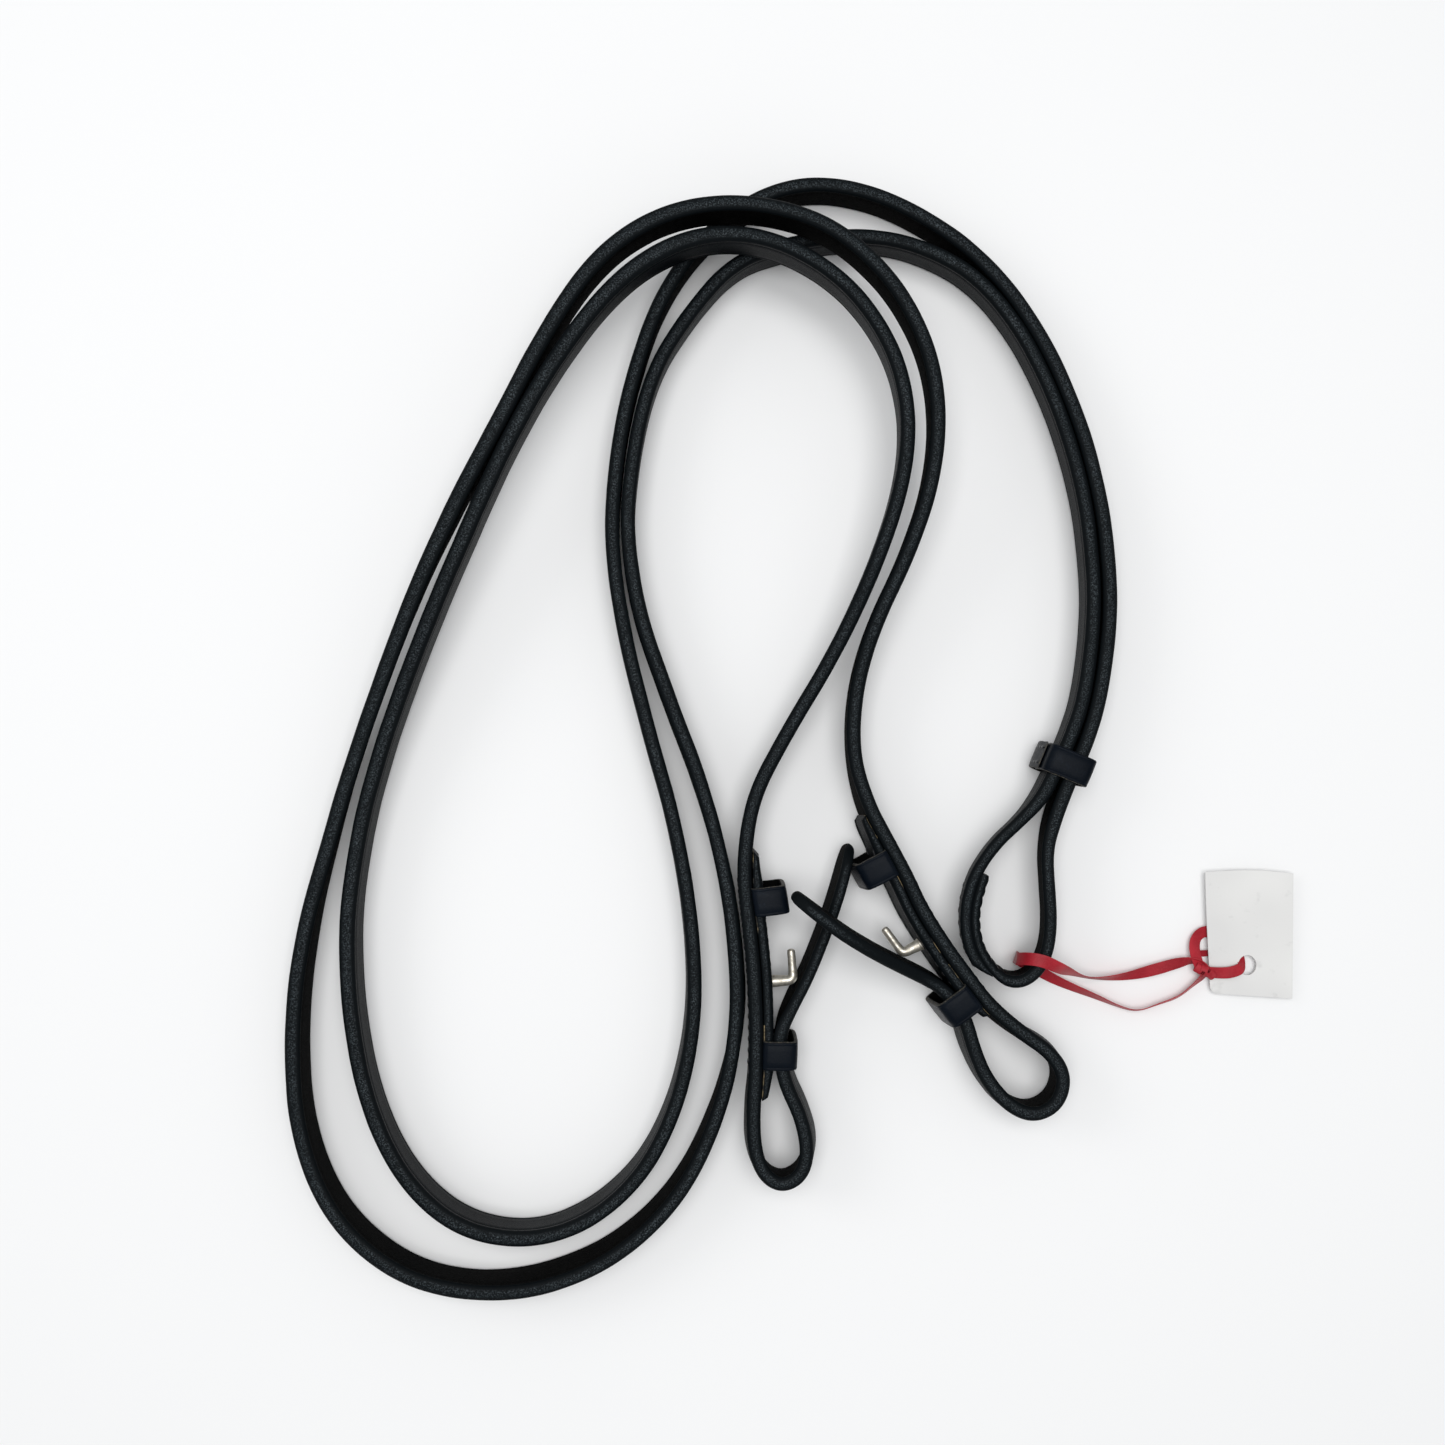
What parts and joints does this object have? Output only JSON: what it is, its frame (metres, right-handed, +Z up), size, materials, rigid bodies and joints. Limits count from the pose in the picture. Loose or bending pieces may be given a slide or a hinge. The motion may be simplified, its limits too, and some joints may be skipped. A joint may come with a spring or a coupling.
{
  "type": "leather reins",
  "caption": "Pair of plain leather riding reins joined at a centre loop with a sliding runner, hook stud billets at the bit ends, coiled in flat rounds and tied with a ribbon ticket",
  "frame": {"origin": "on the floor under the middle of the laid-down reins, without the ribbon and its ticket", "axes": "+Z up from the floor; +Y along the rounds, from the bit ends to the top of the coil; +X towards the centre loop's side"},
  "size_m": [0.308, 0.337, 0.0326],
  "materials": {
    "rein_leather": "dyed black, smooth grain outside, matte flesh side inside, waxed edges",
    "lining_leather": "dyed black with a raw tan core at the seam",
    "keeper_leather": "dyed black, polished, creased at both edges",
    "stud_metal": "nickel plated, tumbled",
    "thread": "waxed black linen thread",
    "ribbon": "red satin",
    "ticket_card": "matte white card, blank"
  },
  "bodies": {
    "reins": {"rein_left": "rein_leather", "rein_right": "rein_leather", "billet_lining_left": "lining_leather", "billet_lining_right": "lining_leather", "upper_keeper_left": "keeper_leather", "upper_keeper_right": "keeper_leather", "lower_keeper_left": "keeper_leather", "lower_keeper_right": "keeper_leather", "hook_stud_left": "stud_metal", "hook_stud_right": "stud_metal", "billet_stitching_left": "thread", "billet_stitching_right": "thread", "centre_stitching": "thread", "tag_ribbon": "ribbon", "ribbon_knot": "ribbon", "swing_ticket": "ticket_card"},
    "runner": {"runner": "keeper_leather", "runner_stitching": "thread"},
    "right_tail": {"billet_tail_right": "rein_leather"}
  },
  "joints": [
    {"name": "runner_slide", "type": "slide", "parent": "reins", "child": "runner", "axis": [0.385, 0.9229, 0], "range_m": [-0.006, 0.014]},
    {"name": "right_tail_swing", "type": "hinge", "parent": "reins", "child": "right_tail", "pos_m": [0.0724, -0.0744, 0], "axis": [0, 0, 1], "range_deg": [0, 30]}
  ]
}
